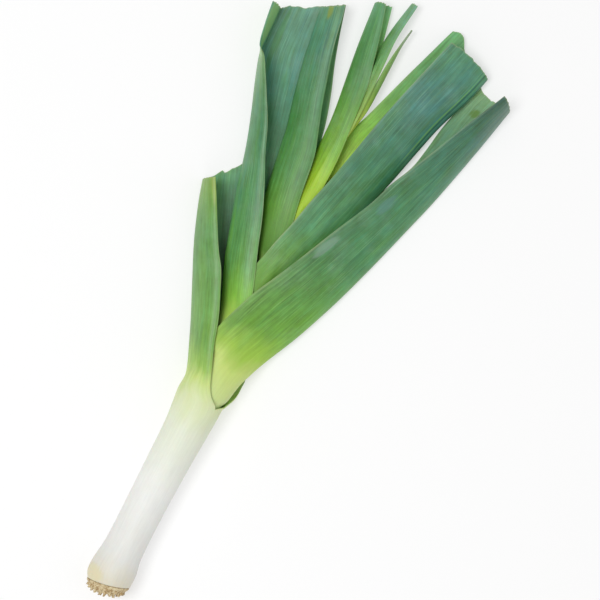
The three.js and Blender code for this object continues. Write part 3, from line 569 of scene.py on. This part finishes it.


# The material of a leaf: the ramps along it, times the tone of its patterns and a painted light along the
# keel and painted shade towards the margins, under lines, wax and marks, and paler margins and cut. A pattern
# goes from 0 to 1 about 0.5. green is 0 on the shank and 1 on the blade.
def leafFinish(leaf, layer, look):
    long = bundle["overallLength"]
    finish = Finish(leaf["name"], Coat_Weight=surface["coat"], Coat_Roughness=surface["coatRoughness"],
                    Subsurface_Weight=surface["scatter"], Subsurface_Scale=surface["scatterDepth"])
    u, v = finish.uv()
    inside = finish.value("inside")
    fromCut = finish.value("fromCut")

    def pattern(name):
        alongU, acrossV, step, detail = patterns[name]
        return finish.noise(finish.vector(u * alongU, v * acrossV, layer * step), 1.0, detail)

    # 0 under low mm past the leaf's mouth, 1 over high
    def pastMouth(low, high):
        return u.between((leaf["mouthX"] + low) / long, (leaf["mouthX"] + high) / long)

    green = pastMouth(*surface["greenFrom"])
    bands, streaks, veins = (pattern(name) for name in ("bands", "streaks", "veins"))
    blotches = finish.noise(finish.place(), surface["blotchWaves"], 3, 0.6)
    patches = finish.noise(finish.place(), surface["patchWaves"], 4, 0.6)

    at = u + (pattern("drift") - 0.5) * surface["drift"]
    outside, within = (finish.ramp(at, [(x / long, colour) for x, colour in look[side]])
                       for side in ("outside", "inside"))
    colour = finish.mix(inside * pastMouth(*surface["insideFrom"]), outside, within)

    ofBands, ofStreaks, ofBlotches = surface["waxBlend"]
    waxBlend = bands * ofBands + streaks * ofStreaks + blotches * ofBlotches
    waxy = waxBlend.between(*surface["waxFrom"]) * green * surface["waxShare"]
    colour = finish.mix(waxy, colour, (*surface["waxy"], 1), "MULTIPLY")
    fresh = (1 - waxBlend.between(*surface["freshUnder"])) * green * surface["freshShare"]
    colour = finish.mix(fresh, colour, (*surface["fresh"], 1), "MULTIPLY")

    strength = green * (1 - surface["shankShare"]) + surface["shankShare"]
    tone = 1 + ((streaks - 0.5) * surface["streaks"] + (veins - 0.5) * surface["veins"]
                + (blotches - 0.5) * surface["blotches"]) * strength
    fromKeel = (v - 0.5).size() * 2
    # Painted light along the keel on the blade's outside, from its near to its far factor, and painted shade
    # towards the margins
    near, far = look["paintedKeelLight"]
    paintedKeelLight = near - 1 + pastMouth(*surface["farKeelLightFrom"]) * (far - near)
    paintedMarginShade = fromKeel.between(*surface["marginShadeFrom"]) * (look["paintedMarginShade"] - 1)
    shape = ((1 - fromKeel.between(*surface["keelLightUnder"])) * paintedKeelLight + paintedMarginShade) * green * (1 - inside)
    colour = finish.mix(1.0, colour, tone + shape, "MULTIPLY")

    lines = veins.between(*surface["lineFrom"]) * streaks * green * surface["lineShare"]
    colour = finish.mix(lines, colour, onScreen(surface["line"]))
    streaky = 1 + (streaks - 0.5) * surface["bloomStreaks"]
    bloom = patches.between(*surface["bloomFrom"]) * streaky * green * surface["bloomShare"]
    colour = finish.mix(bloom, colour, onScreen(surface["bloom"]))
    for x, across, halfLong, halfWide, tint, share in marks.get(leaf["name"], []):
        away = (((u - x / long) / (halfLong / long)) ** 2 + ((v - across) / halfWide) ** 2
                + (streaks - 0.5) * surface["markRagged"])
        colour = finish.mix((1 - away.between(*surface["markUnder"])) * share, colour, onScreen(tint))

    width, least = surface["marginWidth"], surface["marginLeast"]
    edge = (1 - v.between(0, width) + v.between(1 - width, 1)) * green * surface["marginShare"]
    patchy = bands.between(*surface["marginPatchFrom"]) * (1 - least) + least
    colour = finish.mix(edge * patchy, colour, onScreen(surface["margin"]))
    cut = (1 - fromCut.between(0, surface["cutDepth"])) * surface["cutShare"]
    colour = finish.mix(cut, colour, onScreen(surface["cut"]))

    roughness = (surface["roughness"] + (1 - green) * surface["duller"]
                 + (patches - 0.5) * surface["roughPatches"])
    finish.set(Base_Color=colour, Roughness=roughness)
    ofVeins, ofStreaks = surface["relief"]
    finish.bump(veins * ofVeins + streaks * ofStreaks, surface["reliefStrength"], surface["reliefHeight"])
    return finish.material


rootPlate = dict(
    height=15.6, axis=[(0, -1.9), (9, -1.3)],
    # share of the way round the section from the middle of the dome to the back, x, radius
    profile=[(0, 0.3, 0), (0.2, 0.7, 4.5), (0.38, 1.8, 8.4), (0.53, 3.4, 11.3), (0.64, 5.2, 13),
             (0.8, 8.6, 14.2), (1, 8.6, 0)],
    domeRows=60, domeColumns=120,
    # lumps of the dome: height, waves round it and out from its middle, where they set in and fade
    lumps=0.22, waves=[(7, 9), (13, -17), (23, 31)], lumpFrom=(0.05, 0.3), lumpUnder=(0.7, 0.8),
    lumpForward=0.6,  # how far a lump also stands out along x, as a share of its height
    # stubs: rings of them as share of the reach and number, then the ranges of their random draws
    rings=[(0.95, 22), (0.82, 19), (0.66, 15), (0.48, 11), (0.3, 7), (0.1, 3)], reach=13.2,
    turnDraw=(-0.1, 0.1), awayDraw=(-0.4, 0.4), lengthDraw=(0.9, 2.5), radiusDraw=(0.5, 0.95),
    splayDraw=(0.3, 1.2), swayDraw=(-0.25, 0.25),
    splay=0.55, sunk=0.8,  # outward lean at the rim in radians, and how deep a stub starts in the dome
    # a stub's section: share of its length, share of its radius
    stub=[(0, 1.15), (0.35, 1), (0.75, 0.92), (0.93, 0.86), (1, 0.66), (1, 0)],
    tan=(230, 215, 175), brown=(170, 140, 95), dark=(110, 85, 60),
    grainWaves=420, spotWaves=1300,  # to the metre
    tanFrom=(0.36, 0.62), darkFrom=(0.58, 0.72), darkShare=0.5,
    roughness=0.75, roughGrain=0.3, relief=0.7, reliefHeight=0.5 * mm)


# Moves points of the root end from about the plate's axis into place, and leans them with the plate
def placeRoot(points):
    y = through(rootPlate["axis"], points[..., 0])[:, 0].reshape(points.shape[:-1])
    placed = points + np.stack([0 * y, y, 0 * y + rootPlate["height"]], axis=-1)
    placed[..., 0] -= bundle["rootTilt"] * placed[..., 1]
    return placed


# Quads of a grid whose last column joins its first
def gridQuads(rows, columns):
    ids = np.arange(rows * columns).reshape(rows, columns)
    ids = np.concatenate([ids, ids[:, :1]], axis=1)
    return np.stack([ids[:-1, :-1], ids[:-1, 1:], ids[1:, 1:], ids[1:, :-1]], axis=-1).reshape(-1, 4)


# The dome: the profile turned about X, its radius varied by three waves round it
def rootDome():
    plate = rootPlate
    share, turn = np.meshgrid(np.linspace(0, 1, plate["domeRows"]),
                              np.linspace(0, 2 * np.pi, plate["domeColumns"], endpoint=False), indexing="ij")
    x, radius = through(plate["profile"], share.ravel()).T.reshape(2, *share.shape)
    wave = sum(np.sin(aroundX * turn + outward * share) for aroundX, outward in plate["waves"])
    fade = smooth(*plate["lumpFrom"], share) * (1 - smooth(*plate["lumpUnder"], share))
    lump = plate["lumps"] * wave / len(plate["waves"]) * fade
    radius = np.maximum(radius, 0) + lump
    x = x - lump * plate["lumpForward"]
    points = np.stack([x, radius * np.cos(turn), radius * np.sin(turn)], axis=-1)
    return placeRoot(points).reshape(-1, 3), gridQuads(*share.shape)[:, ::-1]


# The stubs: each is a ten-sided cone of rings about a straight line that leaves the dome and leans out
# by splay and sideways by sway. Its foot, inside the dome, is closed with four quads.
def rootStubs(rng):
    plate = rootPlate
    ring = np.repeat([share for share, _ in plate["rings"]], [n for _, n in plate["rings"]])
    turn = np.concatenate([np.arange(n) / n for _, n in plate["rings"]]) * 2 * np.pi
    count = len(ring)
    turn = turn + rng.uniform(*plate["turnDraw"], count)
    away = ring * plate["reach"] + rng.uniform(*plate["awayDraw"], count)
    front = np.array(plate["profile"])[:-1]
    foot = np.interp(away, front[:, 2], front[:, 1]) + plate["sunk"]
    length = rng.uniform(*plate["lengthDraw"], count) + plate["sunk"]
    radius = rng.uniform(*plate["radiusDraw"], count)
    splay = plate["splay"] * ring * rng.uniform(*plate["splayDraw"], count)
    sway = rng.uniform(*plate["swayDraw"], count)
    out = np.stack([0 * turn, np.cos(turn), np.sin(turn)], axis=1)
    sideways = np.stack([0 * turn, -np.sin(turn), np.cos(turn)], axis=1)
    heading = np.array([-1.0, 0, 0]) + out * np.tan(splay)[:, None] + sideways * np.tan(sway)[:, None]
    heading /= np.linalg.norm(heading, axis=1, keepdims=True)
    sideA = np.cross(heading, sideways)
    sideA /= np.linalg.norm(sideA, axis=1, keepdims=True)
    sideB = np.cross(heading, sideA)
    along, wide = np.array(plate["stub"]).T
    spin = np.linspace(0, 2 * np.pi, 10, endpoint=False)
    closing = 9 - np.array([(0, 1, 2, 3), (0, 3, 4, 9), (4, 5, 8, 9), (5, 6, 7, 8)])
    start = np.stack([foot, 0 * foot, 0 * foot], axis=1) + out * away[:, None]
    centre = start[:, None] + heading[:, None] * (length[:, None] * along)[..., None]
    around = sideA[:, None] * np.cos(spin)[None, :, None] + sideB[:, None] * np.sin(spin)[None, :, None]
    points = centre[:, :, None] + around[:, None] * (radius[:, None] * wide)[:, :, None, None]
    faces = np.concatenate([gridQuads(len(along), len(spin)), closing])
    faces = (faces[None] + np.arange(count)[:, None, None] * len(along) * len(spin)).reshape(-1, 4)
    return placeRoot(points.reshape(-1, 3)), faces


# Tan skin over brown, by a fine grain, with dark spots
def rootFinish():
    finish = Finish("rootPlate", Specular_IOR_Level=0.3)
    place = finish.place()
    grain = finish.noise(place, rootPlate["grainWaves"], 5, 0.65)
    spots = finish.noise(place, rootPlate["spotWaves"], 3)
    colour = finish.mix(grain.between(*rootPlate["tanFrom"]), onScreen(rootPlate["brown"]),
                        onScreen(rootPlate["tan"]))
    colour = finish.mix(spots.between(*rootPlate["darkFrom"]) * rootPlate["darkShare"], colour,
                        onScreen(rootPlate["dark"]))
    finish.set(Base_Color=colour, Roughness=rootPlate["roughness"] + (grain - 0.5) * rootPlate["roughGrain"])
    finish.bump(grain + spots * 0.5, rootPlate["relief"], rootPlate["reliefHeight"])
    return finish.material


# Gives a piece its material, hangs it under the root body and hides the solid of the frame that it stands for
def show(piece, material, node):
    piece.data.materials.append(material)
    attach(piece, "root")
    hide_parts(node)


print("leaves")
for layer, leaf in enumerate(leaves):
    points, v, mouthRow = leafSurface(leaf, layer)
    vertices, quads, uv, values = leafShell(leaf, points, v, mouthRow)
    piece = meshPiece(leaf["name"] + "_grown", vertices, quads, uv, values)
    show(piece, leafFinish(leaf, layer, looks[leaf["name"]]), leaf["name"])

print("root plate")
rootMaterial = rootFinish()
show(meshPiece("root_plate_dome", *rootDome()), rootMaterial, "root_plate")
show(meshPiece("root_stubs", *rootStubs(np.random.default_rng(5))), rootMaterial, "root_plate")

print("table, light and camera")
studio = dict(
    # turn is the shank's from upright, in degrees. Lengths of the view are mm, the others are metres.
    view=dict(centre=(245.7, -31.0, 15), turn=27, width=420, distance=1400, sensor=36, farthest=20000),
    key=dict(at=(0.0, 0.6, 1.9), size=0.9, power=19), fill=dict(at=(0.5, -1.4, 1.2), size=2.0, power=3.5),
    front=dict(at=(-1.3, -0.2, 1.1), size=1.6, power=3), aim=(0.2, 0, 0), sky=0.45,
    table=(0.5, 0.5, 0.5), tableSize=8, glow=0.5)


# A round lamp that shines towards the middle of the leek
def areaLight(name, at, size, power):
    data = bpy.data.lights.new(name, "AREA")
    data.shape, data.size, data.energy = "DISK", size, power
    lamp = bpy.data.objects.new(name, data)
    lamp.location = at
    aim = Vector(studio["aim"]) - lamp.location
    lamp.rotation_euler = aim.to_track_quat("-Z", "Y").to_euler()
    bpy.context.scene.collection.objects.link(lamp)


for name in ("key", "fill", "front"):
    areaLight(name, **studio[name])

world = bpy.data.worlds.new("softSky")
bpy.context.scene.world = world
world.use_nodes = True
sky = world.node_tree.nodes["Background"].inputs
sky["Color"].default_value = (1, 1, 1, 1)
sky["Strength"].default_value = studio["sky"]

bpy.ops.mesh.primitive_plane_add(size=studio["tableSize"], location=(0, 0, 0))
table = bpy.context.object
table.name = "table"
tableFinish = Finish("table", Base_Color=(*studio["table"], 1), Roughness=0.9, Specular_IOR_Level=0.1,
                     Emission_Color=(1, 1, 1, 1), Emission_Strength=studio["glow"])
table.data.materials.append(tableFinish.material)

shot = studio["view"]
camera = bpy.data.objects.new("camera", bpy.data.cameras.new("camera"))
turn = np.radians(shot["turn"])
right = Vector((np.sin(turn), -np.cos(turn), 0))
up = Vector((np.cos(turn), np.sin(turn), 0))
over = Vector(shot["centre"]) - Vector((bundle["restX"], 0, -shot["distance"]))
camera.matrix_world = (Matrix.Translation(over * mm)
                       @ Matrix((right, up, Vector((0, 0, 1)))).transposed().to_4x4())
camera.data.sensor_width = shot["sensor"]
camera.data.lens = shot["sensor"] * shot["distance"] / shot["width"]
camera.data.clip_end = shot["farthest"] * mm
bpy.context.scene.collection.objects.link(camera)
bpy.context.scene.camera = camera
bpy.context.scene.view_settings.view_transform = "Standard"

print("done")
